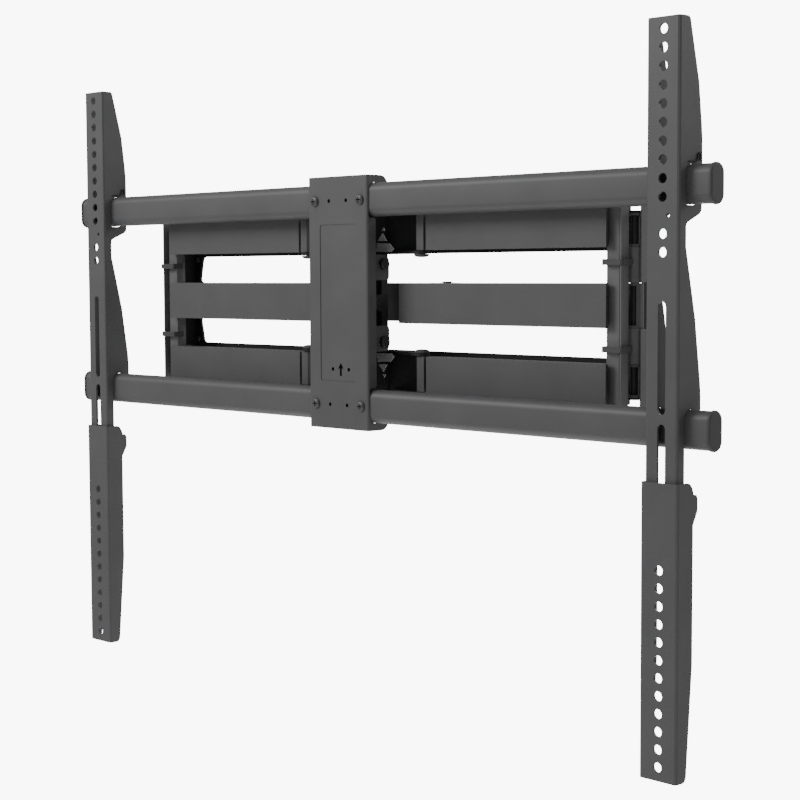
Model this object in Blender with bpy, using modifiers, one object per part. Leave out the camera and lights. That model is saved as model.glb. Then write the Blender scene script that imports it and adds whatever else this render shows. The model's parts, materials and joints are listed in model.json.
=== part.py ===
"""Full motion TV wall mount: wall plate, two folding double-bar arms, tilting head, two tubes,
two TV brackets and their sliding extensions.

Shape tables are in millimetres as (x, t, z).  x runs to the right, z runs up from the mid height of
the wall plate, and t is the distance behind the face plane of the TV brackets, towards the wall.
The world frame is metres with the back of the wall plate on the plane Y = 0.
"""
import math

import bmesh
import bpy
from mathutils import Matrix, Vector

# ---------------------------------------------------------------- driving dimensions (mm)
MM = 0.001
FOLDED_DEPTH = 87.5

SHEET = 2.4
GAP = 0.3

# wall plate
WALL_HALF_LENGTH = 329.0
WALL_HALF_HEIGHT = 82.5
WALL_SHEET = 2.5
WALL_LIP = 8.0
WALL_END_LIP = 16.8
WINDOW_TOP = 48.3
WINDOW_BOTTOM = 19.3
WINDOW_END_TOP = 312.0
WINDOW_END_BOTTOM = 318.0
STUD_SLOTS = (101.5, 203.0, 270.0)

# linkage axes, as (x, t) of the right-hand side
WALL_AXIS = (81.5, 77.5)
ELBOW_AXIS = (325.5, 60.0)
HEAD_AXIS = (81.5, 42.5)
TILT_AXIS = (17.0, 0.0)
LOCK_BOLT = (35.0, 38.0)
LOCK_TRAVEL = 3.4

# arms
ARM_FRONT = 37.5
ARM_SHEET = 2.3
BAR_LOW = 51.0
BAR_HIGH = 87.3
KNUCKLE_HIGH = 85.0
EAR_HIGH = 80.2
MID_HALF_HEIGHT = 19.5
BAR_START = 91.8
BAR_END = 311.5
NOTCH_END = 306.6
NOTCH_FRONT = 40.4
NOTCH_REAR = 52.2
MID_START = 54.8
ELBOW_PIN_RADIUS = 4.0
EAR_RADIUS = 7.8
WALL_PIN_RADIUS = 4.0
HEAD_PIN_RADIUS = 3.0

# head
YOKE_WEB = 55.0
YOKE_REAR = 57.5
YOKE_WEB_END = 72.0
COVER_HALF_WIDTH = 42.7
COVER_HALF_HEIGHT = 123.8
COVER_FRONT = 7.5
COVER_SHEET = 2.0
PANEL_HALF_WIDTH = 25.7
PANEL_HALF_HEIGHT = 77.0
PANEL_DEPTH = 0.6
COVER_SCREW_X = 32.5
SMALL_HOLE_X = 12.3
MARK_X = 3.0
TUBE_Z = 100.0

# tubes
TUBE_FRONT = 9.8
TUBE_DEPTH = 16.4
TUBE_HEIGHT = 32.7
TUBE_WALL = 2.0
TUBE_HALF_LENGTH = 438.5
CAP_THICKNESS = 3.0
CAP_OVERHANG = 0.75

# TV brackets and extensions
BRACKET_X = 400.0
BRACKET_HALF_WIDTH = 16.6
BRACKET_TOP = 234.7
BRACKET_BOTTOM = -205.0
HOLE_RADIUS = 4.35
HOLE_PITCH = 15.0
HOLE_TOP = 225.0
HOLE_ROW = 10
EXTRA_HOLES = (60.0, 45.0)
MARK_HOLE = (5.5, 75.0, 1.9)
SLOT_HALF_WIDTH = 4.0
SLOTS = ((-88.0, 5.0), (-195.0, -95.5))
EXTENSION_HALF_WIDTH = 19.1
EXTENSION_SHEET = 2.1
EXTENSION_TOP = -143.8
EXTENSION_BOTTOM = -393.0
EXTENSION_HOLE_TOP = -216.3
EXTENSION_HOLES = 12

# ---------------------------------------------------------------- scene
for old in list(bpy.data.objects):
    bpy.data.objects.remove(old, do_unlink=True)

PARTS = bpy.data.collections.new("full_motion_tv_wall_mount")
CUTTERS = bpy.data.collections.new("cutters")
bpy.context.scene.collection.children.link(PARTS)
bpy.context.scene.collection.children.link(CUTTERS)

PAINT = (0.055, 0.055, 0.057, 1.0)
DARK_PAINT = (0.02, 0.02, 0.021, 1.0)
ZINC = (0.32, 0.32, 0.33, 1.0)
BLACK_STEEL = (0.035, 0.035, 0.036, 1.0)
PLASTIC = (0.045, 0.045, 0.046, 1.0)


def material(name, colour, metallic, roughness):
    """A Principled material of its own for one sub-part."""
    made = bpy.data.materials.new(name)
    made.use_nodes = True
    shader = made.node_tree.nodes["Principled BSDF"]
    shader.inputs["Base Color"].default_value = colour
    shader.inputs["Metallic"].default_value = metallic
    shader.inputs["Roughness"].default_value = roughness
    return made


def painted(name):
    return material(name + "_paint", PAINT, 0.0, 0.55)


def dark_painted(name):
    return material(name + "_paint", DARK_PAINT, 0.0, 0.6)


def steel(name):
    return material(name + "_steel", BLACK_STEEL, 0.8, 0.4)


def zinc(name):
    return material(name + "_zinc", ZINC, 0.9, 0.35)


def plastic(name):
    return material(name + "_plastic", PLASTIC, 0.0, 0.6)


# ---------------------------------------------------------------- solids as meshes in (x, t, z) mm
PLACING = {
    "x": Matrix(((0, 0, 1, 0), (1, 0, 0, 0), (0, 1, 0, 0), (0, 0, 0, 1))),
    "t": Matrix(((1, 0, 0, 0), (0, 0, 1, 0), (0, 1, 0, 0), (0, 0, 0, 1))),
    "z": Matrix.Identity(4),
}


def settled(scratch):
    """Mesh of a scratch object as Blender evaluates it; the scratch object is removed."""
    bpy.context.scene.collection.objects.link(scratch)
    graph = bpy.context.evaluated_depsgraph_get()
    mesh = bpy.data.meshes.new_from_object(scratch.evaluated_get(graph))
    bpy.data.objects.remove(scratch, do_unlink=True)
    work = bmesh.new()
    work.from_mesh(mesh)
    bmesh.ops.remove_doubles(work, verts=work.verts, dist=0.001)
    work.to_mesh(mesh)
    work.free()
    return mesh


def prism(outline, axis, low, high):
    """Filled curve extruded along an axis: outline is (t, z) for x, (x, z) for t, (x, t) for z."""
    curve = bpy.data.curves.new("outline", "CURVE")
    curve.dimensions = "2D"
    curve.fill_mode = "BOTH"
    curve.extrude = (high - low) / 2
    spline = curve.splines.new("POLY")
    spline.points.add(len(outline) - 1)
    for point, (a, b) in zip(spline.points, outline):
        point.co = (a, b, 0.0, 1.0)
    spline.use_cyclic_u = True
    mesh = settled(bpy.data.objects.new("outline", curve))
    mesh.transform(PLACING[axis] @ Matrix.Translation((0.0, 0.0, (low + high) / 2)))
    return mesh


def box(x0, x1, t0, t1, z0, z1):
    centre = Matrix.Translation(((x0 + x1) / 2, (t0 + t1) / 2, (z0 + z1) / 2))
    mesh = bpy.data.meshes.new("box")
    work = bmesh.new()
    bmesh.ops.create_cube(work, size=1.0, matrix=centre @ Matrix.Diagonal((x1 - x0, t1 - t0, z1 - z0, 1.0)))
    work.to_mesh(mesh)
    work.free()
    return mesh


def disc(axis, a, b, radius, low, high, segments=14):
    """Cylinder along an axis between two levels."""
    mesh = bpy.data.meshes.new("disc")
    work = bmesh.new()
    bmesh.ops.create_cone(work, cap_ends=True, segments=segments, radius1=radius, radius2=radius,
                          depth=high - low,
                          matrix=PLACING[axis] @ Matrix.Translation((a, b, (low + high) / 2)))
    work.to_mesh(mesh)
    work.free()
    return mesh


def turned(axis, a, b, profile, segments=14):
    """Round solid: a (radius, level) profile spun about an axis with the Screw modifier."""
    steps = list(profile) if profile[0][1] > profile[-1][1] else list(reversed(profile))
    points = [(0.0, steps[0][1])] + steps + [(0.0, steps[-1][1])]
    mesh = bpy.data.meshes.new("profile")
    mesh.from_pydata([(radius, 0.0, level) for radius, level in points],
                     [(i, i + 1) for i in range(len(points) - 1)], [])
    scratch = bpy.data.objects.new("profile", mesh)
    spin = scratch.modifiers.new("spin", "SCREW")
    spin.axis = "Z"
    spin.steps = segments
    spin.render_steps = segments
    spin.use_merge_vertices = True
    spin.merge_threshold = 0.0001
    made = settled(scratch)
    made.transform(PLACING[axis] @ Matrix.Translation((a, b, 0.0)))
    return made



def oval(t, z, depth, height, steps=6):
    """Flat oval outline in (t, z): straight front and back, half round top and bottom."""
    radius = depth / 2
    centre = height / 2 - radius
    points = []
    for k in range(steps + 1):
        angle = math.pi * k / steps
        points.append((t + radius * math.cos(angle), z + centre + radius * math.sin(angle)))
    for k in range(steps + 1):
        angle = math.pi + math.pi * k / steps
        points.append((t + radius * math.cos(angle), z - centre + radius * math.sin(angle)))
    return points


def slot(axis_points, radius, steps=5):
    """Round-ended outline from one end centre to the other."""
    (a0, b0), (a1, b1) = axis_points
    heading = math.atan2(b1 - b0, a1 - a0)
    points = []
    for (a, b), start in (((a1, b1), heading - math.pi / 2), ((a0, b0), heading + math.pi / 2)):
        for k in range(steps + 1):
            angle = start + math.pi * k / steps
            points.append((a + radius * math.cos(angle), b + radius * math.sin(angle)))
    return points


def arc(a, b, radius, start, end, steps):
    """Points on a circle between two angles in degrees."""
    points = []
    for k in range(steps + 1):
        angle = math.radians(start + (end - start) * k / steps)
        points.append((a + radius * math.cos(angle), b + radius * math.sin(angle)))
    return points


def rounded(outline, radii, steps=2):
    """Outline with the listed corners (index: radius) replaced by arcs."""
    points = []
    count = len(outline)
    for i, corner in enumerate(outline):
        radius = radii.get(i, 0.0)
        if radius == 0.0:
            points.append(corner)
            continue
        here = Vector(corner)
        before = (Vector(outline[i - 1]) - here).normalized()
        after = (Vector(outline[(i + 1) % count]) - here).normalized()
        half = before.angle(after) / 2
        reach = radius / math.tan(half)
        centre = here + (before + after).normalized() * (radius / math.sin(half))
        start = here + before * reach - centre
        end = here + after * reach - centre
        turn = math.atan2(start.x * end.y - start.y * end.x, start.dot(end))
        first = math.atan2(start.y, start.x)
        for k in range(steps + 1):
            angle = first + turn * k / steps
            points.append((centre.x + radius * math.cos(angle), centre.y + radius * math.sin(angle)))
    return points


def mirrored(outline):
    """Outline mirrored left to right."""
    return [(-a, b) for a, b in reversed(outline)]


# ---------------------------------------------------------------- objects
def world(x, t, z):
    return Vector((x, t - FOLDED_DEPTH, z)) * MM


def build(name, solids, collection, origin=(0.0, FOLDED_DEPTH, 0.0)):
    """One mesh object from solids, faces turned outwards, origin at an (x, t, z) point."""
    mesh = bpy.data.meshes.new(name)
    work = bmesh.new()
    base = world(*origin)
    for solid in solids:
        work.from_mesh(solid)
        bpy.data.meshes.remove(solid)
    for vert in work.verts:
        vert.co = world(*vert.co) - base
    bmesh.ops.recalc_face_normals(work, faces=work.faces)
    work.to_mesh(mesh)
    work.free()
    made = bpy.data.objects.new(name, mesh)
    made.location = base
    collection.objects.link(made)
    return made


def part(name, solid, finish, origin=(0.0, FOLDED_DEPTH, 0.0)):
    made = build(name, [solid], PARTS, origin)
    made.data.materials.append(finish(name))
    return made


def boolean(target, label, operation, solids):
    """Boolean of a target with a group of solids kept as a hidden cutter."""
    cutter = build(target.name + "_" + label, solids, CUTTERS)
    cutter.hide_render = True
    cutter.display_type = "WIRE"
    step = target.modifiers.new(label, "BOOLEAN")
    step.operation = operation
    step.solver = "EXACT"
    step.object = cutter
    return cutter


def smooth(made, angle=35.0):
    """Shade round faces smooth and keep edges sharper than the angle."""
    made.data.shade_smooth()
    made.data.set_sharp_from_angle(angle=math.radians(angle))


SIDES = (("left", -1), ("right", 1))
LEVELS = (("upper", 1), ("lower", -1))


def axis_point(axis, sign, z=0.0):
    return (sign * axis[0], axis[1], z)


def for_side(outline, sign):
    return outline if sign > 0 else mirrored(outline)


def span(sign, low, high):
    """A low-high pair mirrored when the sign is negative."""
    return (low, high) if sign > 0 else (-high, -low)


# ---------------------------------------------------------------- wall side
def wall_plate():
    front = FOLDED_DEPTH - WALL_SHEET
    outline = [(FOLDED_DEPTH, -WALL_HALF_HEIGHT), (FOLDED_DEPTH, WALL_HALF_HEIGHT),
               (front - WALL_LIP, WALL_HALF_HEIGHT), (front - WALL_LIP, WALL_HALF_HEIGHT - WALL_SHEET),
               (front, WALL_HALF_HEIGHT - WALL_SHEET), (front, -WALL_HALF_HEIGHT + WALL_SHEET),
               (front - WALL_LIP, -WALL_HALF_HEIGHT + WALL_SHEET), (front - WALL_LIP, -WALL_HALF_HEIGHT)]
    outline = rounded(outline, {0: 2.2, 1: 2.2})
    made = part("wall_plate", prism(outline, "x", -WALL_HALF_LENGTH, WALL_HALF_LENGTH), dark_painted)
    lips = []
    for _, sign in SIDES:
        x0, x1 = span(sign, WALL_HALF_LENGTH - WALL_SHEET - 0.1, WALL_HALF_LENGTH - 0.1)
        lips.append(box(x0, x1, front - WALL_END_LIP, front + 1.0, 3.0 - WALL_HALF_HEIGHT,
                        WALL_HALF_HEIGHT - 3.0))
    boolean(made, "end_lips", "UNION", lips)
    low = front - 2.0
    high = FOLDED_DEPTH + 2.0
    cuts = []
    for _, level in LEVELS:
        z0 = level * WINDOW_BOTTOM
        z1 = level * WINDOW_TOP
        window = [(-WINDOW_END_BOTTOM, z0), (WINDOW_END_BOTTOM, z0), (WINDOW_END_TOP, z1),
                  (-WINDOW_END_TOP, z1)]
        cuts.append(prism(rounded(window, {0: 4.0, 1: 4.0, 2: 4.0, 3: 4.0}), "t", low, high))
        for _, sign in SIDES:
            for x in STUD_SLOTS:
                ends = ((sign * x - 9.0, level * 65.0), (sign * x + 9.0, level * 65.0))
                cuts.append(prism(slot(ends, 4.5, 4), "t", low, high))
    boolean(made, "openings", "DIFFERENCE", cuts)
    return made


def wall_bracket(side, sign):
    x, t = WALL_AXIS
    rear = FOLDED_DEPTH - WALL_SHEET - GAP
    plan = [(x - 15.0, rear), (x - 15.0, rear - 3.2)] + arc(x, t, 7.0, 180, 360, 8)
    plan += [(x + 15.0, rear - 3.2), (x + 15.0, rear)]
    made = part("wall_bracket_" + side, prism(for_side(plan, sign), "z", -16.9, 16.9),
                dark_painted)
    boolean(made, "pocket", "DIFFERENCE", [box(sign * x - 20.0, sign * x + 20.0, 60.0, rear - 3.2, -13.7, 13.7)])
    hole = disc("z", sign * x, t, WALL_PIN_RADIUS + 0.4, -30.0, 30.0)
    boolean(made, "pin_hole", "DIFFERENCE", [hole])
    return made


def wall_pin(side, sign):
    x, t = WALL_AXIS
    profile = [(5.2, -20.8), (5.6, -20.5), (5.6, -19.8), (WALL_PIN_RADIUS, -19.8),
               (WALL_PIN_RADIUS, 19.8), (5.6, 19.8), (5.6, 20.5), (5.2, 20.8)]
    made = part("wall_pin_" + side, turned("z", sign * x, t, profile), steel, (sign * x, t, 0.0))
    smooth(made)
    return made


# ---------------------------------------------------------------- arms
def arm_ear(axis, radius, start, end):
    return arc(axis[0], axis[1], radius, start, end, 7)


def rear_arm(side, sign):
    """Middle bar: a channel from the wall pin to the elbow pin, closed by a nose at the elbow."""
    plan = [(MID_START, 41.0), (MID_START, ARM_FRONT), (BAR_END, ARM_FRONT), (BAR_END, NOTCH_FRONT),
            (NOTCH_END, NOTCH_FRONT), (NOTCH_END, NOTCH_REAR)]
    plan += arm_ear(ELBOW_AXIS, EAR_RADIUS, -90, 90)
    plan += [(312.0, 67.0), (298.0, 60.0), (122.0, 60.0), (98.0, 76.0)]
    plan += arm_ear(WALL_AXIS, 7.0, 20, 180)
    plan += [(64.0, 51.0)]
    made = part("rear_arm_" + side, prism(for_side(plan, sign), "z", -MID_HALF_HEIGHT, MID_HALF_HEIGHT),
                painted, axis_point(WALL_AXIS, sign))
    inner = MID_HALF_HEIGHT - ARM_SHEET
    x0, x1 = span(sign, 40.0, ELBOW_AXIS[0] + 5.5)
    boolean(made, "pocket", "DIFFERENCE", [box(x0, x1, ARM_FRONT + ARM_SHEET, 100.0, -inner, inner)])
    holes = [disc("z", sign * ELBOW_AXIS[0], ELBOW_AXIS[1], ELBOW_PIN_RADIUS + 0.4, -30.0, 30.0),
             disc("z", sign * WALL_AXIS[0], WALL_AXIS[1], WALL_PIN_RADIUS + 0.4, -30.0, 30.0)]
    boolean(made, "pin_holes", "DIFFERENCE", holes)
    return made


def elbow_pin(side, sign):
    x, t = ELBOW_AXIS
    head = EAR_HIGH + GAP
    r = ELBOW_PIN_RADIUS
    profile = [(r + 1.2, -head - 1.7), (r + 1.6, -head - 1.3), (r + 1.6, -head), (r, -head),
               (r, head), (r + 1.6, head), (r + 1.6, head + 1.3), (r + 1.2, head + 1.7)]
    made = part("elbow_pin_" + side, turned("z", sign * x, t, profile), steel, (sign * x, t, 0.0))
    smooth(made)
    return made


def front_bar(level_name, level, side, sign):
    """Outer bar: a channel from the head pivot knuckle to the elbow pin."""
    x, t = HEAD_AXIS
    knuckle = [(88.7, 46.5), (88.7, ARM_FRONT), (79.4, ARM_FRONT)]
    knuckle += arc(x, t, 5.1, 255, 90, 6)
    plan = [(BAR_START, 46.5), (BAR_START, ARM_FRONT), (BAR_END, ARM_FRONT), (BAR_END, NOTCH_FRONT),
            (NOTCH_END, NOTCH_FRONT), (NOTCH_END, NOTCH_REAR)]
    plan += arm_ear(ELBOW_AXIS, EAR_RADIUS, -90, 90)
    plan += [(314.0, 67.5), (298.0, 54.0), (110.0, 52.5), (94.0, 49.0)]
    plan += list(reversed(knuckle))
    z0, z1 = span(level, BAR_LOW, BAR_HIGH)
    name = "front_bar_" + level_name + "_" + side
    made = part(name, prism(for_side(plan, sign), "z", z0, z1), painted, axis_point(ELBOW_AXIS, sign))
    x0, x1 = span(sign, 70.0, 90.3)
    over_knuckle = box(x0, x1, 20.0, 60.0, *span(level, KNUCKLE_HIGH, 95.0))
    x0, x1 = span(sign, 315.0, 345.0)
    over_ear = box(x0, x1, NOTCH_REAR - 4.0, 80.0, *span(level, EAR_HIGH, 95.0))
    boolean(made, "steps", "DIFFERENCE", [over_knuckle, over_ear])
    x0, x1 = span(sign, 94.5, 309.0)
    pocket = box(x0, x1, ARM_FRONT + ARM_SHEET, 100.0, z0 + ARM_SHEET, z1 - ARM_SHEET)
    x0, x1 = span(sign, 308.0, 345.0)
    low, high = span(level, BAR_LOW + ARM_SHEET, EAR_HIGH - ARM_SHEET)
    ear_pocket = box(x0, x1, ARM_FRONT + ARM_SHEET + 0.1, 100.0, low, high)
    boolean(made, "pocket", "DIFFERENCE", [pocket])
    boolean(made, "ear_pocket", "DIFFERENCE", [ear_pocket])
    holes = [disc("z", sign * ELBOW_AXIS[0], ELBOW_AXIS[1], ELBOW_PIN_RADIUS + 0.4, z0 - 5.0, z1 + 5.0),
             disc("z", sign * x, t, HEAD_PIN_RADIUS + 0.4, z0 - 5.0, z1 + 5.0)]
    boolean(made, "pin_holes", "DIFFERENCE", holes)
    return made


def elbow_post(side, sign):
    outline = [(307.0, -87.0), (320.9, -87.0), (320.9, 87.0), (307.0, 87.0)]
    outline = rounded(outline, {1: 2.0, 2: 2.0})
    return part("elbow_post_" + side, prism(for_side(outline, sign), "t", 44.2, 51.7), painted,
                axis_point(ELBOW_AXIS, sign))


def elbow_plate(side, sign):
    x0, x1 = span(sign, 324.9, 326.3)
    outline = rounded([(39.9, -89.0), (50.3, -89.0), (50.3, 89.0), (39.9, 89.0)],
                      {0: 1.5, 1: 1.5, 2: 1.5, 3: 1.5}, 1)
    return part("elbow_plate_" + side, prism(outline, "x", x0, x1), painted, axis_point(ELBOW_AXIS, sign))


def cable_clip(level_name, level, side, sign):
    """Plastic band round the front of the elbow post that holds the cables."""
    z0, z1 = span(level, 35.3, 40.5)
    outer = rounded([(305.6, 38.0), (329.0, 38.0), (329.0, 51.9), (305.6, 51.9)], {0: 2.2, 1: 2.2})
    made = part("cable_clip_" + level_name + "_" + side, prism(for_side(outer, sign), "z", z0, z1),
                plastic, axis_point(ELBOW_AXIS, sign))
    x0, x1 = span(sign, 306.7, 327.3)
    boolean(made, "hollow", "DIFFERENCE", [box(x0, x1, 39.4, 60.0, z0 - 5.0, z1 + 5.0)])
    return made


def elbow_spacer(level_name, level, side, sign):
    """Sleeve on the elbow pin between the middle bar and an outer bar."""
    x, t = ELBOW_AXIS
    z0, z1 = span(level, MID_HALF_HEIGHT + GAP, BAR_LOW - GAP)
    name = "elbow_spacer_" + level_name + "_" + side
    made = part(name, disc("z", sign * x, t, EAR_RADIUS, z0, z1, 20), painted, axis_point(ELBOW_AXIS, sign))
    bore = disc("z", sign * x, t, ELBOW_PIN_RADIUS + GAP, z0 - 5.0, z1 + 5.0)
    boolean(made, "bore", "DIFFERENCE", [bore])
    smooth(made)
    return made


def elbow_guard(level_name, level, side, sign):
    """Narrow upright strip on the outside of an outer bar's ear."""
    x0, x1 = span(sign, 333.8, 335.0)
    z0, z1 = span(level, MID_HALF_HEIGHT + 0.8, 89.5)
    return part("elbow_guard_" + level_name + "_" + side, box(x0, x1, 56.7, 64.3, z0, z1), painted,
                axis_point(ELBOW_AXIS, sign))


# ---------------------------------------------------------------- head, carried by the arms
def yoke(level_name, level):
    """Channel that reaches out to both head pivots, open to the front between its two ears."""
    x, t = HEAD_AXIS
    half = [(28.0, YOKE_WEB), (44.0, 50.0), (62.0, 44.0)] + arc(x, t, 7.6, 225, 450, 9)
    half += [(77.0, 54.5), (73.0, YOKE_REAR)]
    plan = half + mirrored(half)
    z0, z1 = span(level, 47.6, 88.4)
    made = part("yoke_" + level_name, prism(plan, "z", z0, z1), dark_painted, (-x, t, 0.0))
    inner = (z0 + 2.8, z1 - 2.8)
    boolean(made, "pocket", "DIFFERENCE", [box(-100.0, 100.0, 20.0, YOKE_WEB, *inner)])
    ends = [box(YOKE_WEB_END, 100.0, 20.0, 70.0, *inner),
            box(-100.0, -YOKE_WEB_END, 20.0, 70.0, *inner)]
    boolean(made, "open_ends", "DIFFERENCE", ends)
    holes = [disc("z", sign * x, t, HEAD_PIN_RADIUS + 0.4, z0 - 5.0, z1 + 5.0) for _, sign in SIDES]
    boolean(made, "pivot_holes", "DIFFERENCE", holes)
    return made


def yoke_back():
    """Upright between the two yokes; its side flanges carry the tilt bolt and the lock bolts."""
    outer = 22.0
    inner = outer - 2.5
    rear = YOKE_WEB - GAP
    plan = [(-outer, rear), (-outer, 5.0), (-inner, 5.0), (-inner, rear - 2.5), (inner, rear - 2.5),
            (inner, 5.0), (outer, 5.0), (outer, rear)]
    made = part("yoke_back", prism(plan, "z", -88.0, 88.0), dark_painted,
                (-HEAD_AXIS[0], HEAD_AXIS[1], 0.0))
    t, z = TILT_AXIS
    half = [(60.0, 90.0), (51.0, 90.0), (51.0, 47.0), (26.0, 47.0), (26.0, 22.5), (46.0, 22.5),
            (46.0, 9.0), (40.0, 7.0)]
    profile = half + arc(t, z, 7.0, 90, 270, 8) + [(a, -b) for a, b in reversed(half)]
    boolean(made, "side_shape", "INTERSECT", [prism(profile, "x", -40.0, 40.0)])
    holes = [disc("x", t, z, 4.4, -45.0, 45.0)]
    holes += [disc("x", LOCK_BOLT[0], level * LOCK_BOLT[1], 3.4, -45.0, 45.0) for _, level in LEVELS]
    boolean(made, "bolt_holes", "DIFFERENCE", holes)
    return made


def pivot_screw(level_name, level, side, sign):
    """Shoulder screw on a head pivot, dome towards mid height."""
    x, t = HEAD_AXIS
    r = HEAD_PIN_RADIUS
    profile = [(3.0, 44.2), (6.0, 44.8), (7.4, 46.2), (7.4, 47.3), (r, 47.3), (r, 88.7), (5.6, 88.7),
               (5.6, 91.4), (5.0, 92.0)]
    profile = [(radius, level * z) for radius, z in profile]
    name = "pivot_screw_" + level_name + "_" + side
    made = part(name, turned("z", sign * x, t, profile), steel, (sign * x, t, 0.0))
    smooth(made)
    return made


def tilt_bolt():
    t, z = TILT_AXIS
    profile = [(6.0, -40.2), (7.0, -39.4), (7.0, -36.3), (4.0, -36.3), (4.0, 36.3), (7.0, 36.3),
               (7.0, 39.4), (6.0, 40.2)]
    made = part("tilt_bolt", turned("x", t, z, profile), steel, (0.0, t, z))
    smooth(made)
    return made


def tilt_lock(level_name, level):
    t, z = LOCK_BOLT[0], level * LOCK_BOLT[1]
    profile = [(4.8, -40.0), (5.6, -39.2), (5.6, -36.3), (3.0, -36.3), (3.0, 36.3), (5.6, 36.3),
               (5.6, 39.2), (4.8, 40.0)]
    made = part("tilt_lock_" + level_name, turned("x", t, z, profile), steel, (0.0, t, z))
    smooth(made)
    return made


# ---------------------------------------------------------------- tilting frame
TILT_ORIGIN = (0.0, TILT_AXIS[0], TILT_AXIS[1])


def tube_seat(start, end):
    """Arc just clear of the round top of the upper tube, between two angles in degrees."""
    radius = TUBE_DEPTH / 2
    return arc(TUBE_FRONT + radius, TUBE_Z + TUBE_HEIGHT / 2 - radius, radius + 0.35, start, end, 8)


def cover_side_outline():
    """Side view (t, z) of the head cover: hooks round both tubes, shallow flange between."""
    h = COVER_HALF_HEIGHT
    half = [(COVER_FRONT - 2.0, h), (26.0, h), (29.4, h - 0.9), (32.2, h - 3.0), (34.0, h - 5.8),
            (34.7, h - 9.0), (34.7, 97.0), (33.2, 95.2), (29.4, 95.2), (27.9, 97.0), (27.9, 106.0)]
    half += tube_seat(0, 180)
    half += [(COVER_FRONT + COVER_SHEET, 84.0), (COVER_FRONT + COVER_SHEET + 1.4, 82.4), (17.0, 82.4),
             (18.8, 80.6)]
    return half + [(t, -z) for t, z in reversed(half)]


def arrow_outline():
    """Upward arrow (x, z)."""
    half = [(3.9, -64.6), (1.4, -64.0), (1.4, -71.6)]
    outline = [(0.0, -58.4)] + half + [(-a, b) for a, b in reversed(half)]
    return [(MARK_X + a, b) for a, b in outline]


def head_cover():
    w = COVER_HALF_WIDTH
    s = COVER_SHEET
    f = COVER_FRONT
    plan = [(-w, 40.0), (-w, f), (w, f), (w, 40.0), (w - s, 40.0), (w - s, f + s), (-w + s, f + s),
            (-w + s, 40.0)]
    plan = rounded(plan, {1: 2.2, 2: 2.2})
    h = COVER_HALF_HEIGHT + 1.0
    made = part("head_cover", prism(plan, "z", -h, h), painted, TILT_ORIGIN)
    boolean(made, "side_shape", "INTERSECT", [prism(cover_side_outline(), "x", -60.0, 60.0)])
    panel = [(-PANEL_HALF_WIDTH, -PANEL_HALF_HEIGHT), (PANEL_HALF_WIDTH, -PANEL_HALF_HEIGHT),
             (PANEL_HALF_WIDTH, PANEL_HALF_HEIGHT), (-PANEL_HALF_WIDTH, PANEL_HALF_HEIGHT)]
    panel = rounded(panel, {0: 1.5, 1: 1.5, 2: 1.5, 3: 1.5}, 1)
    boolean(made, "panel", "DIFFERENCE", [prism(panel, "t", f - 5.0, f + PANEL_DEPTH)])
    boolean(made, "arrow", "DIFFERENCE", [prism(arrow_outline(), "t", f - 5.0, f + PANEL_DEPTH + 0.5)])
    holes = []
    for _, level in LEVELS:
        for _, sign in SIDES:
            holes.append(disc("t", sign * COVER_SCREW_X, level * TUBE_Z, 2.8, f - 5.0, f + 4.0, 12))
            holes.append(disc("t", sign * SMALL_HOLE_X, level * TUBE_Z, 2.0, f - 5.0, f + 4.0, 10))
    for _, sign in SIDES:
        holes.append(disc("t", MARK_X + sign * 11.5, -65.0, 2.0, f - 5.0, f + 4.0, 10))
    boolean(made, "holes", "DIFFERENCE", holes)
    return made


def side_plate(side, sign):
    """Tilt plate behind the cover: a spine on the tilt bolt and two lugs with arc slots."""
    outline = [(9.8, -47.2), (42.9, -47.2), (42.9, -22.2), (24.0, -22.2), (24.0, 22.2), (42.9, 22.2),
               (42.9, 47.2), (9.8, 47.2)]
    outline = rounded(outline, {1: 7.0, 2: 4.0, 5: 4.0, 6: 7.0}, 4)
    x0, x1 = span(sign, 33.5, 36.0)
    made = part("side_plate_" + side, prism(outline, "x", x0, x1), painted, TILT_ORIGIN)
    t, z = TILT_AXIS
    holes = [disc("x", t, z, 4.4, -45.0, 45.0)]
    reach = Vector((LOCK_BOLT[0] - t, LOCK_BOLT[1] - z))
    travel = Vector((-reach.y, reach.x)).normalized() * LOCK_TRAVEL
    for _, level in LEVELS:
        ends = ((LOCK_BOLT[0] - travel.x, level * (LOCK_BOLT[1] - travel.y)),
                (LOCK_BOLT[0] + travel.x, level * (LOCK_BOLT[1] + travel.y)))
        holes.append(prism(slot(ends, 3.4, 4), "x", -45.0, 45.0))
    boolean(made, "bolt_holes", "DIFFERENCE", holes)
    return made


def cover_screw(level_name, level, side, sign):
    """Pan-head cross screw that holds the cover to a tube."""
    x, z = sign * COVER_SCREW_X, level * TUBE_Z
    profile = [(2.2, 5.0), (3.9, 5.5), (4.7, 6.4), (4.8, 7.2), (2.3, 7.2), (2.3, 16.0)]
    made = part("cover_screw_" + level_name + "_" + side, turned("t", x, z, profile, 12), zinc,
                TILT_ORIGIN)
    smooth(made)
    boolean(made, "cross_a", "DIFFERENCE", [box(x - 2.6, x + 2.6, 4.0, 6.4, z - 0.5, z + 0.5)])
    boolean(made, "cross_b", "DIFFERENCE", [box(x - 0.5, x + 0.5, 4.0, 6.4, z - 2.6, z + 2.6)])
    return made


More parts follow.
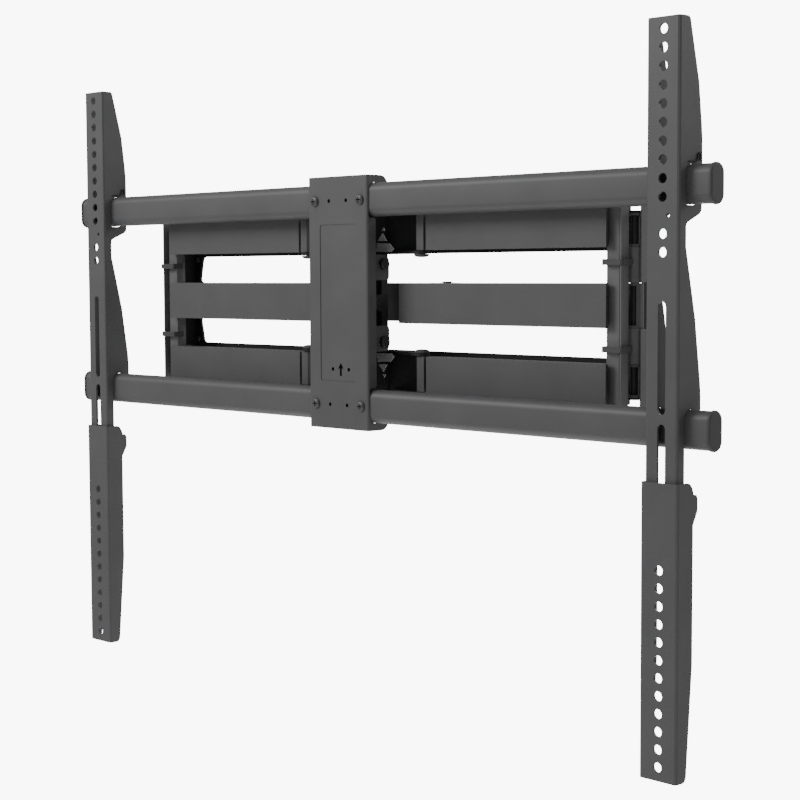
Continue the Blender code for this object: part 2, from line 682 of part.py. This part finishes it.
def tube(level_name, level):
    centre = TUBE_FRONT + TUBE_DEPTH / 2
    z = level * TUBE_Z
    outline = oval(centre, z, TUBE_DEPTH, TUBE_HEIGHT)
    length = TUBE_HALF_LENGTH
    made = part("tube_" + level_name, prism(outline, "x", -length, length), painted, TILT_ORIGIN)
    inner = oval(centre, z, TUBE_DEPTH - 2 * TUBE_WALL, TUBE_HEIGHT - 2 * TUBE_WALL)
    boolean(made, "bore", "DIFFERENCE", [prism(inner, "x", -length - 5.0, length + 5.0)])
    holes = [disc("t", sign * COVER_SCREW_X, z, 2.8, TUBE_FRONT - 4.0, centre, 12) for _, sign in SIDES]
    boolean(made, "screw_holes", "DIFFERENCE", holes)
    smooth(made)
    return made


def loft(rings):
    """Closed mesh through rings of equal point count but unlike size, each a list of (x, t, z)."""
    count = len(rings[0])
    mesh = bpy.data.meshes.new("loft")
    work = bmesh.new()
    loops = [[work.verts.new(point) for point in ring] for ring in rings]
    work.faces.new(loops[0])
    work.faces.new(loops[-1])
    for lower, upper in zip(loops, loops[1:]):
        for i in range(count):
            j = (i + 1) % count
            work.faces.new((lower[i], upper[i], upper[j], lower[j]))
    work.to_mesh(mesh)
    work.free()
    return mesh


def tube_cap(level_name, level, side, sign):
    """Plastic end cap: a plug inside the tube and a slightly proud rounded face."""
    centre = TUBE_FRONT + TUBE_DEPTH / 2
    z = level * TUBE_Z
    plug = oval(centre, z, TUBE_DEPTH - 2 * TUBE_WALL - 2 * GAP, TUBE_HEIGHT - 2 * TUBE_WALL - 2 * GAP)
    start = TUBE_HALF_LENGTH + GAP
    rings = [(plug, start - 14.0), (plug, start)]
    for grow, step in ((CAP_OVERHANG, 0.0), (CAP_OVERHANG, 1.6), (CAP_OVERHANG - 0.45, 2.6),
                       (CAP_OVERHANG - 1.4, CAP_THICKNESS)):
        rings.append((oval(centre, z, TUBE_DEPTH + 2 * grow, TUBE_HEIGHT + 2 * grow), start + step))
    solid = loft([[(sign * x, t, h) for t, h in ring] for ring, x in rings])
    made = part("tube_cap_" + level_name + "_" + side, solid, plastic, TILT_ORIGIN)
    smooth(made)
    return made


# ---------------------------------------------------------------- TV brackets
def bracket_side_outline():
    """Side view (t, z) of a TV bracket: a hooked seat on the upper tube, a flat one on the lower."""
    upper = [(-2.0, BRACKET_TOP), (11.4, BRACKET_TOP), (13.2, 233.9), (14.4, 232.2), (26.3, 183.3),
             (30.4, 148.0), (31.2, 138.0), (31.4, 115.2), (30.6, 114.2)]
    middle = [(9.5, 84.4), (10.8, 83.2), (21.0, 83.0), (25.0, 84.2), (27.6, 87.0), (29.5, 88.0),
              (31.0, 86.0), (31.0, 81.0), (30.4, 78.6), (27.7, 76.0), (12.4, 69.4), (10.6, 68.0),
              (10.0, 66.0), (10.0, 49.0), (23.0, -9.0), (30.4, -62.0), (31.2, -73.0), (31.2, -84.8),
              (30.4, -85.8)]
    low_seat = [(t, z - 2 * TUBE_Z) for t, z in tube_seat(45, 180)]
    return (upper + tube_seat(45, 180) + middle + low_seat
            + [(9.5, BRACKET_BOTTOM), (-2.0, BRACKET_BOTTOM)])


def tv_bracket(side, sign):
    w = BRACKET_HALF_WIDTH
    x = sign * BRACKET_X
    plan = [(-w, 40.0), (-w, 0.0), (w, 0.0), (w, 40.0), (w - SHEET, 40.0), (w - SHEET, SHEET),
            (-w + SHEET, SHEET), (-w + SHEET, 40.0)]
    plan = [(x + a, b) for a, b in rounded(plan, {1: 2.2, 2: 2.2})]
    solid = prism(plan, "z", BRACKET_BOTTOM - 2.0, BRACKET_TOP + 2.0)
    made = part("tv_bracket_" + side, solid, painted, (x, 0.0, 0.0))
    boolean(made, "side_shape", "INTERSECT", [prism(bracket_side_outline(), "x", x - 30.0, x + 30.0)])
    rows = [HOLE_TOP - HOLE_PITCH * k for k in range(HOLE_ROW)] + list(EXTRA_HOLES)
    holes = [disc("t", x, z, HOLE_RADIUS, -4.0, 6.0, 12) for z in rows]
    mark_x, mark_z, mark_r = MARK_HOLE
    holes.append(disc("t", x + mark_x, mark_z, mark_r, -4.0, 6.0, 10))
    for low, high in SLOTS:
        ends = ((x, low + SLOT_HALF_WIDTH), (x, high - SLOT_HALF_WIDTH))
        holes.append(prism(slot(ends, SLOT_HALF_WIDTH), "t", -4.0, 6.0))
    boolean(made, "holes", "DIFFERENCE", holes)
    return made


def extension_side_outline():
    """Side view (t, z) of an extension: a grip step near the top, tapered foot."""
    top = EXTENSION_TOP
    bottom = EXTENSION_BOTTOM
    return [(-6.0, top), (12.4, top), (14.8, top - 0.9), (17.0, top - 3.4), (18.8, top - 7.0),
            (19.6, top - 10.0), (23.4, top - 10.4), (24.9, top - 13.6), (24.9, top - 24.0),
            (18.8, top - 35.2), (18.8, -295.0), (11.5, bottom + 4.6), (9.8, bottom + 1.0),
            (7.4, bottom), (-6.0, bottom)]


def extension(side, sign):
    w = EXTENSION_HALF_WIDTH
    s = EXTENSION_SHEET
    x = sign * BRACKET_X
    front = -GAP - s
    plan = [(-w, 30.0), (-w, front), (w, front), (w, 30.0), (w - s, 30.0), (w - s, front + s),
            (-w + s, front + s), (-w + s, 30.0)]
    plan = [(x + a, b) for a, b in rounded(plan, {1: 2.2, 2: 2.2})]
    solid = prism(plan, "z", EXTENSION_BOTTOM - 2.0, EXTENSION_TOP + 2.0)
    made = part("extension_" + side, solid, painted, (x, 0.0, EXTENSION_TOP))
    boolean(made, "side_shape", "INTERSECT", [prism(extension_side_outline(), "x", x - 30.0, x + 30.0)])
    rows = [EXTENSION_HOLE_TOP - HOLE_PITCH * k for k in range(EXTENSION_HOLES)]
    boolean(made, "holes", "DIFFERENCE", [disc("t", x, z, HOLE_RADIUS, -6.0, 4.0, 12) for z in rows])
    return made


# ---------------------------------------------------------------- assembly
wall_plate()
for side_name, side_sign in SIDES:
    wall_bracket(side_name, side_sign)
    wall_pin(side_name, side_sign)
    rear_arm(side_name, side_sign)
    elbow_pin(side_name, side_sign)
    elbow_post(side_name, side_sign)
    elbow_plate(side_name, side_sign)
    side_plate(side_name, side_sign)
    tv_bracket(side_name, side_sign)
    extension(side_name, side_sign)
    for row_name, row_sign in LEVELS:
        front_bar(row_name, row_sign, side_name, side_sign)
        cable_clip(row_name, row_sign, side_name, side_sign)
        elbow_spacer(row_name, row_sign, side_name, side_sign)
        elbow_guard(row_name, row_sign, side_name, side_sign)
        pivot_screw(row_name, row_sign, side_name, side_sign)
        cover_screw(row_name, row_sign, side_name, side_sign)
        tube_cap(row_name, row_sign, side_name, side_sign)
for row_name, row_sign in LEVELS:
    yoke(row_name, row_sign)
    tilt_lock(row_name, row_sign)
    tube(row_name, row_sign)
yoke_back()
tilt_bolt()
head_cover()
bpy.context.view_layer.update()
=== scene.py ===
"""Looks of the full motion TV wall mount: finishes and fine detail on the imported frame.

The world is the frame's: metres, with the wall on the plane Y = 0.  Fine pieces are described in
millimetres as (x, t, z), where t is the depth behind the face plane of the TV brackets.
"""
import json
import math

import bmesh
import bpy
from mathutils import Matrix, Vector


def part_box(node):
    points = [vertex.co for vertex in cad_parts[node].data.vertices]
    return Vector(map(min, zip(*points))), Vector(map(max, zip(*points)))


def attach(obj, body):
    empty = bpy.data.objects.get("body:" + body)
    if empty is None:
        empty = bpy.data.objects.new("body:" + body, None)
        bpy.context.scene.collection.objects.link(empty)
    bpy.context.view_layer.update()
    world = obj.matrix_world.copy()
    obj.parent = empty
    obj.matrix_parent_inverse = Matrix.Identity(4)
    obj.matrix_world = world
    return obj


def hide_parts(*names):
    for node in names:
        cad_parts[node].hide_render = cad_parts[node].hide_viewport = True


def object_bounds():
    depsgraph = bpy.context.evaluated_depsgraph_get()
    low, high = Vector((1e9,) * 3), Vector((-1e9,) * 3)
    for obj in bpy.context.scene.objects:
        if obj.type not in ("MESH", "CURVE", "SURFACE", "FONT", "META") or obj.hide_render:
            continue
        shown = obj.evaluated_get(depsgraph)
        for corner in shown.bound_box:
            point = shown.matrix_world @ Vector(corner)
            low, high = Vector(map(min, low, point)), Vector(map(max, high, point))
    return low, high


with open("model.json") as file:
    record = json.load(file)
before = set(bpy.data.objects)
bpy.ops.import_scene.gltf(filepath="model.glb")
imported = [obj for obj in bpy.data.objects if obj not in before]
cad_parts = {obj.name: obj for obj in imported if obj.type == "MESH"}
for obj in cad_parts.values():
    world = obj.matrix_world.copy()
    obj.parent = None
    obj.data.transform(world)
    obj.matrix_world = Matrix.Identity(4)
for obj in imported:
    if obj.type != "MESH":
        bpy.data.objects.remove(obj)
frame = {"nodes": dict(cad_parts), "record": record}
cad_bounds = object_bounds()

MM = 0.001
FOLDED_DEPTH = 87.5
SIDES = (("left", -1), ("right", 1))
LEVELS = (("upper", 1), ("lower", -1))

CAMERA_PLACE = Vector((1.27295, -1.24015, 0.02902))
CAMERA_YAW = math.radians(45.64)
CAMERA_PITCH = math.radians(4.14)
CAMERA_ROLL = math.radians(-0.266)
CAMERA_LENS = 78.836
CAMERA_SENSOR = 36.0


# ---------------------------------------------------------------- camera
def linked(name, data):
    """New object in the scene."""
    made = bpy.data.objects.new(name, data)
    bpy.context.scene.collection.objects.link(made)
    return made


def add_camera():
    """Long lens at the front right, nearly level with the object."""
    data = bpy.data.cameras.new("camera")
    data.sensor_width = CAMERA_SENSOR
    data.lens = CAMERA_LENS
    data.clip_start = 0.05
    data.clip_end = 50.0
    turn = Matrix.Rotation(CAMERA_YAW, 3, "Z")
    turn = turn @ Matrix.Rotation(math.pi / 2 - CAMERA_PITCH, 3, "X")
    turn = turn @ Matrix.Rotation(CAMERA_ROLL, 3, "Z")
    camera = linked("camera", data)
    camera.matrix_world = Matrix.Translation(CAMERA_PLACE) @ turn.to_4x4()
    bpy.context.scene.camera = camera


add_camera()


# ---------------------------------------------------------------- materials
def noise(tree, coords, scale, detail):
    """Noise in object space, with its scale in cells per metre."""
    made = tree.nodes.new("ShaderNodeTexNoise")
    made.inputs["Scale"].default_value = scale
    made.inputs["Detail"].default_value = detail
    tree.links.new(coords.outputs["Object"], made.inputs["Vector"])
    return made


def two_tone(tree, source, dark, light):
    """Ramp from dark to light over the middle of a noise's range."""
    made = tree.nodes.new("ShaderNodeValToRGB")
    for stop, position, colour in zip(made.color_ramp.elements, (0.3, 0.7), (dark, light)):
        stop.position = position
        stop.color = (*colour, 1.0)
    tree.links.new(source.outputs["Fac"], made.inputs["Fac"])
    return made


def relief(tree, source, strength):
    """Bump a tenth of a millimetre deep."""
    made = tree.nodes.new("ShaderNodeBump")
    made.inputs["Strength"].default_value = strength
    made.inputs["Distance"].default_value = 0.1 * MM
    tree.links.new(source.outputs["Fac"], made.inputs["Height"])
    return made


def mottled(name, dark, light, rough, metallic=0.0, specular=0.5, patch=22.0, grain=1400.0, bump=0.25):
    """Surface with faint patches of tone and a fine grain; patch and grain are noise scales."""
    made = bpy.data.materials.new(name)
    made.use_nodes = True
    tree = made.node_tree
    shader = tree.nodes["Principled BSDF"]
    shader.inputs["Base Color"].default_value = (*light, 1.0)
    shader.inputs["Roughness"].default_value = rough
    shader.inputs["Metallic"].default_value = metallic
    shader.inputs["Specular IOR Level"].default_value = specular
    coords = tree.nodes.new("ShaderNodeTexCoord")
    tone = two_tone(tree, noise(tree, coords, patch, 4.0), dark, light)
    surface = relief(tree, noise(tree, coords, grain, 2.0), bump)
    tree.links.new(tone.outputs["Color"], shader.inputs["Base Color"])
    tree.links.new(surface.outputs["Normal"], shader.inputs["Normal"])
    return made


PAINT = mottled("charcoal_paint", (0.052, 0.052, 0.054), (0.060, 0.060, 0.062), 0.50, specular=0.35)
# Near-black for the black_paint slot (wall plate and yokes): darker than the charcoal, to paint the deep
# shade that falls on them behind the arms.
PAINTED_SHADE_BLACK = mottled("black_paint", (0.012, 0.012, 0.0125), (0.016, 0.016, 0.0165), 0.60, specular=0.2)
STEEL = mottled("black_oxide", (0.020, 0.020, 0.021), (0.030, 0.030, 0.031), 0.42, metallic=0.6,
                specular=0.4, patch=120.0)
SCREW = mottled("dull_screw", (0.050, 0.050, 0.052), (0.075, 0.075, 0.078), 0.45, metallic=0.5,
                specular=0.4, patch=200.0)
PLASTIC = mottled("moulded_plastic", (0.030, 0.030, 0.031), (0.036, 0.036, 0.037), 0.55, specular=0.4,
                  grain=900.0, bump=0.35)
# Paler paint for the elbow post, spacers, plate and guard: painted light, so that these pieces in the
# shade behind the arms look as lit as the bars.
ELBOW_PAINTED_LIGHT = mottled("elbow_paint", (0.078, 0.078, 0.080), (0.092, 0.092, 0.094), 0.50, specular=0.4)
# Pale grey for the yoke gussets: painted light, far lighter than the charcoal, so that they look brightly
# lit in their recess.
GUSSET_PAINTED_LIGHT = mottled("gusset_painted_light", (0.27, 0.27, 0.275), (0.33, 0.33, 0.335), 0.55, specular=0.4, patch=90.0)
# Near-black with no specular: painted shade for the cover's punched holes and stamped arrow.
HOLE_SHADE = mottled("painted_hole_shade", (0.0015, 0.0015, 0.0015), (0.003, 0.003, 0.003), 0.9, specular=0.0,
              patch=300.0)
SLOT_FINISH = {"charcoal_paint": PAINT, "black_paint": PAINTED_SHADE_BLACK, "black_steel": STEEL, "zinc": SCREW,
               "black_plastic": PLASTIC}
# The elbow pieces take the painted-light elbow paint; the pivot screws take the screw finish.
OWN_FINISH = {"elbow_post": ELBOW_PAINTED_LIGHT, "elbow_spacer": ELBOW_PAINTED_LIGHT, "elbow_plate": ELBOW_PAINTED_LIGHT, "elbow_guard": ELBOW_PAINTED_LIGHT,
              "pivot_screw": SCREW}
SLOT_OF = {row["node"]: row["material_slot"] for row in frame["record"]["subparts"]}


def round_edges(thing, width):
    """Bevel, its width in millimetres, on sharp edges so that they catch the light."""
    bevel = thing.modifiers.new("edges", "BEVEL")
    bevel.width = width * MM
    bevel.segments = 2
    bevel.limit_method = "ANGLE"
    bevel.angle_limit = math.radians(35)


def finish_nodes():
    """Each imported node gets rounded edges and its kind's own finish, or its slot's if it has none."""
    for name, node in frame["nodes"].items():
        kind = "_".join(name.split("_")[:2])
        node.data.materials.clear()
        node.data.materials.append(OWN_FINISH.get(kind, SLOT_FINISH[SLOT_OF[name]]))
        round_edges(node, 0.35)


finish_nodes()


# ---------------------------------------------------------------- tools for fine pieces
def spot(x, t, z):
    """World point from millimetres."""
    return Vector((x * MM, (t - FOLDED_DEPTH) * MM, z * MM))


def measured(node):
    """Centre and size of a CAD node's box, in millimetres to the nearest thousandth."""
    low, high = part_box(node)
    x, y, z = (low + high) / 2 / MM
    centre = [round(value, 3) for value in (x, y + FOLDED_DEPTH, z)]
    size = [round(value / MM, 3) for value in high - low]
    return centre, size


def meshed(name, work):
    """Object from a bmesh in millimetres."""
    for vert in work.verts:
        vert.co = spot(*vert.co)
    mesh = bpy.data.meshes.new(name)
    work.to_mesh(mesh)
    work.free()
    return linked(name, mesh)


def piece(name, work, finish, body, bevel=0.0, angle=30.0):
    """Piece that rides on a CAD body, shaded smooth apart from edges sharper than the angle."""
    bmesh.ops.recalc_face_normals(work, faces=work.faces)
    made = meshed(name, work)
    made.data.shade_smooth()
    made.data.set_sharp_from_angle(angle=math.radians(angle))
    made.data.materials.append(finish)
    if bevel:
        round_edges(made, bevel)
    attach(made, body)
    return made


def skin(work, rings, cyclic=False):
    """Faces between rings of equal point count, capped unless the rings close on themselves."""
    loops = [[work.verts.new(point) for point in ring] for ring in rings]
    count = len(loops[0])
    pairs = list(zip(loops, loops[1:])) + ([(loops[-1], loops[0])] if cyclic else [])
    for lower, upper in pairs:
        for i in range(count):
            j = (i + 1) % count
            work.faces.new((lower[i], upper[i], upper[j], lower[j]))
    if not cyclic:
        work.faces.new(loops[0])
        work.faces.new(loops[-1])


def oval(t, z, depth, height, steps=20):
    """Outline (t, z) of two half circles joined by straight sides."""
    radius = depth / 2
    rise = height / 2 - radius
    points = []
    for end, start in ((1, 0.0), (-1, math.pi)):
        for k in range(steps + 1):
            angle = math.pi * k / steps + start
            points.append((t + radius * math.cos(angle), z + end * rise + radius * math.sin(angle)))
    return points


def slab(name, outline, front, rear, finish, body, bevel=0.0):
    """Plate with an (x, z) outline between two depths."""
    work = bmesh.new()
    skin(work, [[(x, t, z) for x, z in outline] for t in (front, rear)])
    return piece(name, work, finish, body, bevel)


def lathe(name, x, z, profile, finish, body, segments):
    """Round piece from (radius, t) steps about a line that runs straight into the wall."""
    work = bmesh.new()
    turns = [2 * math.pi * k / segments for k in range(segments)]
    skin(work, [[(x + radius * math.cos(a), t, z + radius * math.sin(a)) for a in turns]
                for radius, t in profile])
    return piece(name, work, finish, body)


# ---------------------------------------------------------------- tubes and end caps
(_, TUBE_T, TUBE_Z), (TUBE_LENGTH, TUBE_DEPTH, TUBE_HEIGHT) = measured("tube_upper")
TUBE_WALL = 2.0
CAP_PLUG = -2 * TUBE_WALL - 0.6
# (step past the tube's end, growth of the tube's section)
CAP_STEPS = ((-13.0, CAP_PLUG), (0.3, CAP_PLUG), (0.3, 1.5), (1.9, 1.5), (2.5, 1.2), (3.0, 0.5),
             (3.2, -0.4), (3.25, -2.0), (3.25, -4.0))


def fine_tube(level_name, level):
    """Flat-oval steel tube, smooth where the CAD solid is faceted."""
    z = level * TUBE_Z
    end = TUBE_LENGTH / 2
    outer = oval(TUBE_T, z, TUBE_DEPTH, TUBE_HEIGHT)
    inner = oval(TUBE_T, z, TUBE_DEPTH - 2 * TUBE_WALL, TUBE_HEIGHT - 2 * TUBE_WALL)
    work = bmesh.new()
    skin(work, [[(x, a, b) for a, b in ring] for x, ring in
                ((-end, outer), (end, outer), (end, inner), (-end, inner))], cyclic=True)
    tube = piece("fine_tube_" + level_name, work, PAINT, "tilt_frame")
    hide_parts("tube_" + level_name)


def fine_cap(level_name, level, side, sign):
    """End cap with a plug inside the tube and a domed face a little wider than the tube."""
    rings = []
    for step, grow in CAP_STEPS:
        x = sign * (TUBE_LENGTH / 2 + step)
        section = oval(TUBE_T, level * TUBE_Z, TUBE_DEPTH + grow, TUBE_HEIGHT + grow)
        rings.append([(x, a, b) for a, b in section])
    work = bmesh.new()
    skin(work, rings)
    cap = piece("fine_cap_" + level_name + "_" + side, work, PLASTIC, "tilt_frame", angle=50.0)
    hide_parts("tube_cap_" + level_name + "_" + side)


for level_name, level in LEVELS:
    fine_tube(level_name, level)
    for side, sign in SIDES:
        fine_cap(level_name, level, side, sign)

# ---------------------------------------------------------------- head cover
(SCREW_X, _, SCREW_Z), _ = measured("cover_screw_upper_right")
SCREW_PROFILE = ((2.2, 13.0), (2.2, 7.3), (4.9, 7.3), (5.05, 6.9), (4.9, 6.2), (4.4, 5.5), (3.6, 5.05),
                 (2.4, 4.8))
CROSS_REACH = 2.9
CROSS_HALF_WIDTH = 0.55
CROSS_FRONT = 3.0
CROSS_FLOOR = 6.3
PLUG_REAR = 8.7
PLUG_RADIUS = 1.85
PLUG_FACE_RADIUS = 1.6
ARROW_X = 3.0
ARROW_FRONT = 8.2
ARROW_REAR = 8.5
MARK_SPACING = 11.5
MARK_Z = -65.0
MARK_FACE = 8.1
VENT_X = 12.3
VENT_FACE = 8.0


def cross_cutter(x, z):
    """Two crossed blocks in the shape of a screw's recess."""
    work = bmesh.new()
    for wide, high in ((CROSS_REACH, CROSS_HALF_WIDTH), (CROSS_HALF_WIDTH, CROSS_REACH)):
        skin(work, [[(x - wide, t, z - high), (x + wide, t, z - high), (x + wide, t, z + high),
                     (x - wide, t, z + high)] for t in (CROSS_FRONT, CROSS_FLOOR)])
    return meshed("cross", work)


def cut(target, cutter):
    """Boolean difference with its result applied, after which the cutter is removed."""
    modifier = target.modifiers.new("cut", "BOOLEAN")
    modifier.operation = "DIFFERENCE"
    modifier.solver = "EXACT"
    modifier.use_self = True
    modifier.object = cutter
    graph = bpy.context.evaluated_depsgraph_get()
    result = bpy.data.meshes.new_from_object(target.evaluated_get(graph))
    target.modifiers.clear()
    target.data = result
    bpy.data.objects.remove(cutter, do_unlink=True)


def cross_screw(level_name, level, side, sign):
    """Pan-head screw of the cover, with a rounded head and a cross recess facing the room."""
    x = sign * SCREW_X
    z = level * SCREW_Z
    name = level_name + "_" + side
    head = lathe("fine_screw_" + name, x, z, SCREW_PROFILE, SCREW, "tilt_frame", segments=40)
    cut(head, cross_cutter(x, z))
    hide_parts("cover_screw_" + name)


def dark_plug(name, x, z, face):
    """Disc with a small chamfer, set in one of the cover's small holes: near-black painted shade for the
    inside of the hole.
    """
    profile = ((PLUG_RADIUS, PLUG_REAR), (PLUG_RADIUS, face + 0.1), (PLUG_FACE_RADIUS, face))
    made = lathe(name, x, z, profile, HOLE_SHADE, "tilt_frame", segments=24)


def arrow_inlay():
    """Inlay in the cover's stamped arrow, which points up: near-black painted shade that darkens the
    stamped arrow.
    """
    right = [(3.7, -64.4), (1.25, -63.9), (1.25, -71.4)]
    outline = [(0.0, -58.8)] + right + [(-x, z) for x, z in reversed(right)]
    made = slab("arrow_inlay", [(ARROW_X + x, z) for x, z in outline], ARROW_FRONT, ARROW_REAR, HOLE_SHADE,
                "tilt_frame")


for level_name, level in LEVELS:
    for side, sign in SIDES:
        cross_screw(level_name, level, side, sign)
for side, sign in SIDES:
    dark_plug("mark_" + side, ARROW_X + sign * MARK_SPACING, MARK_Z, MARK_FACE)
for level_name, level in LEVELS:
    for side, sign in SIDES:
        dark_plug("vent_" + level_name + "_" + side, sign * VENT_X, level * TUBE_Z, VENT_FACE)
arrow_inlay()

# ---------------------------------------------------------------- yokes, bracket seats and wall plate
GUSSET_FRONT = 48.4
GUSSET_REAR = 49.6
GUSSETS = {
    "wide": ((11.2, 50.6), (13.5, 58.6), (31.1, 58.1), (36.7, 52.9), (32.5, 49.9), (16.0, 49.9)),
    "point": ((14.1, 60.9), (26.9, 60.7), (20.9, 68.6)),
    "tip": ((19.8, 70.6), (24.2, 70.8), (22.4, 74.0)),
}
(BRACKET_X, _, _), _ = measured("tv_bracket_right")
CLIP_X = 17.2
CLIP_HALF_WIDTH = 0.5
CLIP_HALF_SHEET = 0.45
CLIP_PATH = ((12.5, 118.4), (17.5, 119.0), (22.0, 118.2), (24.0, 120.5), (24.6, 124.5), (26.8, 126.0),
             (28.2, 123.8), (27.6, 119.4))
_, (PLATE_LENGTH, _, _) = measured("wall_plate")
RIVET_INSET = 7.5
RIVET_Z = 44.5
RIVET_PROFILE = ((3.2, 84.9), (3.2, 84.2), (2.6, 83.6), (1.4, 83.3))


def yoke_gusset(label, level_name, level, side, sign):
    """Gusset inside a yoke, beside the head cover, in a pale paint that is painted light: it stands in
    for the light on the gusset in its recess.
    """
    outline = [(sign * x, level * z) for x, z in GUSSETS[label]]
    made = slab("gusset_" + label + "_" + level_name + "_" + side, outline, GUSSET_FRONT, GUSSET_REAR,
                GUSSET_PAINTED_LIGHT, "head", bevel=0.2)


def strip_section(x, before, place, after):
    """Corners of a bent strip's section at a place (t, z) on its path."""
    run = (Vector(after) - Vector(before)).normalized()
    out = Vector((-run.y, run.x)) * CLIP_HALF_SHEET
    t, z = place
    w = CLIP_HALF_WIDTH
    return [(x - w, t - out.x, z - out.y), (x + w, t - out.x, z - out.y), (x + w, t + out.x, z + out.y),
            (x - w, t + out.x, z + out.y)]


def seat_clip(side, sign, edge_name, edge):
    """Bent spring strip over the upper tube, at one edge of a TV bracket's seat."""
    x = sign * BRACKET_X + edge * CLIP_X
    last = len(CLIP_PATH) - 1
    work = bmesh.new()
    skin(work, [strip_section(x, CLIP_PATH[max(k - 1, 0)], place, CLIP_PATH[min(k + 1, last)])
                for k, place in enumerate(CLIP_PATH)])
    made = piece("seat_clip_" + side + "_" + edge_name, work, STEEL, "screen_bracket_" + side)


def plate_rivet(level_name, level, side, sign):
    """Small rivet head between a window of the wall plate and its folded end."""
    made = lathe("plate_rivet_" + level_name + "_" + side, sign * (PLATE_LENGTH / 2 - RIVET_INSET),
                 level * RIVET_Z, RIVET_PROFILE, SCREW, "wall_frame", segments=20)


for label in GUSSETS:
    for level_name, level in LEVELS:
        for side, sign in SIDES:
            yoke_gusset(label, level_name, level, side, sign)
for side, sign in SIDES:
    for edge_name, edge in (("in", -1), ("out", 1)):
        seat_clip(side, sign, edge_name, edge)
for side, sign in SIDES:
    for level_name, level in LEVELS:
        plate_rivet(level_name, level, side, sign)

# ---------------------------------------------------------------- studio
FLOOR_RADIUS = 2.0
FLOOR_DROP = 0.85
FLOOR_SIDES = 96
FLOOR_GLOW = 0.9
WORLD_LIGHT = 0.55
WORLD_SEEN = 9.0
WHITE = (1.0, 1.0, 1.0, 1.0)


def floor():
    """Pale round floor well below the object, glowing a little so that it stays pale."""
    low = cad_bounds[0][2] - FLOOR_DROP
    work = bmesh.new()
    turns = [2 * math.pi * k / FLOOR_SIDES for k in range(FLOOR_SIDES)]
    work.faces.new([work.verts.new((FLOOR_RADIUS * math.cos(a), FLOOR_RADIUS * math.sin(a), low))
                    for a in turns])
    mesh = bpy.data.meshes.new("floor")
    work.to_mesh(mesh)
    work.free()
    material = mottled("floor_white", (0.84, 0.84, 0.84), (0.90, 0.90, 0.90), 0.9, specular=0.1,
                       patch=3.0, grain=200.0)
    shader = material.node_tree.nodes["Principled BSDF"]
    shader.inputs["Emission Color"].default_value = WHITE
    shader.inputs["Emission Strength"].default_value = FLOOR_GLOW
    mesh.materials.append(material)
    linked("floor", mesh)


def area_light(name, place, aim, size, power):
    """Square soft light that faces a point; its size is in metres and its power in watts."""
    data = bpy.data.lights.new(name, "AREA")
    data.shape = "SQUARE"
    data.size = size
    data.energy = power
    made = linked(name, data)
    made.location = place
    made.rotation_euler = (Vector(aim) - Vector(place)).to_track_quat("-Z", "Y").to_euler()


def surroundings():
    """White world: bright where the camera sees it, softer as a light."""
    world = bpy.data.worlds.new("studio")
    world.use_nodes = True
    tree = world.node_tree
    lit = tree.nodes["Background"]
    seen = tree.nodes.new("ShaderNodeBackground")
    for node, strength in ((lit, WORLD_LIGHT), (seen, WORLD_SEEN)):
        node.inputs["Color"].default_value = WHITE
        node.inputs["Strength"].default_value = strength
    path = tree.nodes.new("ShaderNodeLightPath")
    mix = tree.nodes.new("ShaderNodeMixShader")
    tree.links.new(path.outputs["Is Camera Ray"], mix.inputs["Fac"])
    tree.links.new(lit.outputs["Background"], mix.inputs[1])
    tree.links.new(seen.outputs["Background"], mix.inputs[2])
    tree.links.new(mix.outputs["Shader"], tree.nodes["World Output"].inputs["Surface"])
    bpy.context.scene.world = world


surroundings()
area_light("key", (-1.25, -1.7, 1.1), aim=(-0.1, 0, 0), size=1.0, power=42.0)
area_light("top", (0.3, -0.6, 2.6), aim=(0, 0, 0), size=1.6, power=25.0)
area_light("back", (0.8, 2.2, 1.2), aim=(0, 0, 0), size=1.2, power=30.0)
floor()
